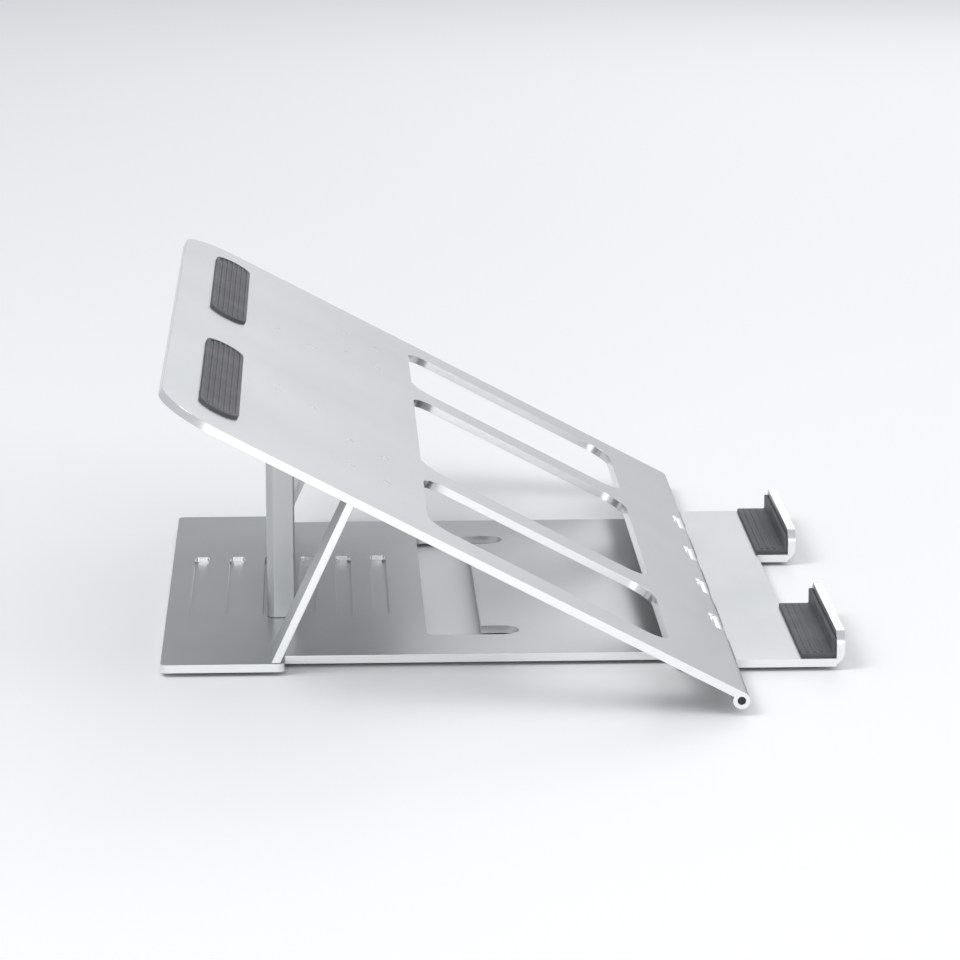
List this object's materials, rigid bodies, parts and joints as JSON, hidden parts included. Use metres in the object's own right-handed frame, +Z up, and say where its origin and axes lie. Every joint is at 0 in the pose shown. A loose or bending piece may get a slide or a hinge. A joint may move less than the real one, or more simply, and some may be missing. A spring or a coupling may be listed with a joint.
{
  "type": "laptop stand",
  "caption": "Folding sheet metal laptop stand: slotted base with front lips, hinged ventilated top plate, swinging support legs and a channel strut that drops into a height slot.",
  "frame": {"origin": "middle of the footprint on the table, under the rubber feet", "axes": "+Z up, +X towards the user and the lips, +Y across to the user's right hand"},
  "size_m": [0.1956, 0.266, 0.0905],
  "materials": {
    "alloy": "fine bead blast, anodised silver",
    "steel": "ground",
    "silicone": "matt",
    "rubber": "matt",
    "plug": "matt"
  },
  "bodies": {
    "base": {"base_plate": "alloy", "hinge_rod": "steel", "lip_pad_left": "silicone", "lip_pad_right": "silicone", "foot_rear_left": "rubber", "foot_rear_right": "rubber", "foot_front_left": "rubber", "foot_front_right": "rubber"},
    "top": {"top_plate": "alloy", "hinge_plug_left": "plug", "hinge_plug_right": "plug", "leg_bracket_outer_left": "alloy", "leg_bracket_inner_left": "alloy", "leg_bracket_inner_right": "alloy", "leg_bracket_outer_right": "alloy", "strut_bracket_left": "alloy", "strut_bracket_right": "alloy", "rivets": "steel", "strut_rod": "steel", "strut_rod_clip_left": "steel", "strut_rod_clip_right": "steel", "top_strip_left": "silicone", "top_strip_right": "silicone"},
    "legs": {"support_leg_left": "alloy", "support_leg_right": "alloy", "leg_rod": "steel", "leg_rod_clip_left": "steel", "leg_rod_clip_right": "steel"},
    "strut": {"strut": "alloy"}
  },
  "joints": [
    {"name": "top_tilt", "type": "hinge", "parent": "base", "child": "top", "pos_m": [0.06345, 0, 0.0044], "axis": [0, 1, 0], "range_deg": [0, 40]},
    {"name": "leg_swing", "type": "hinge", "parent": "top", "child": "legs", "pos_m": [-0.04112, 0, 0.05479], "axis": [0, 1, 0], "range_deg": [0, 88]},
    {"name": "strut_swing", "type": "hinge", "parent": "top", "child": "strut", "pos_m": [-0.06275, 0, 0.06472], "axis": [0, 1, 0], "range_deg": [-40, 0]}
  ],
  "couplings": [
    {"joint": "strut_swing", "follows": "top_tilt", "ratio": -1}
  ]
}
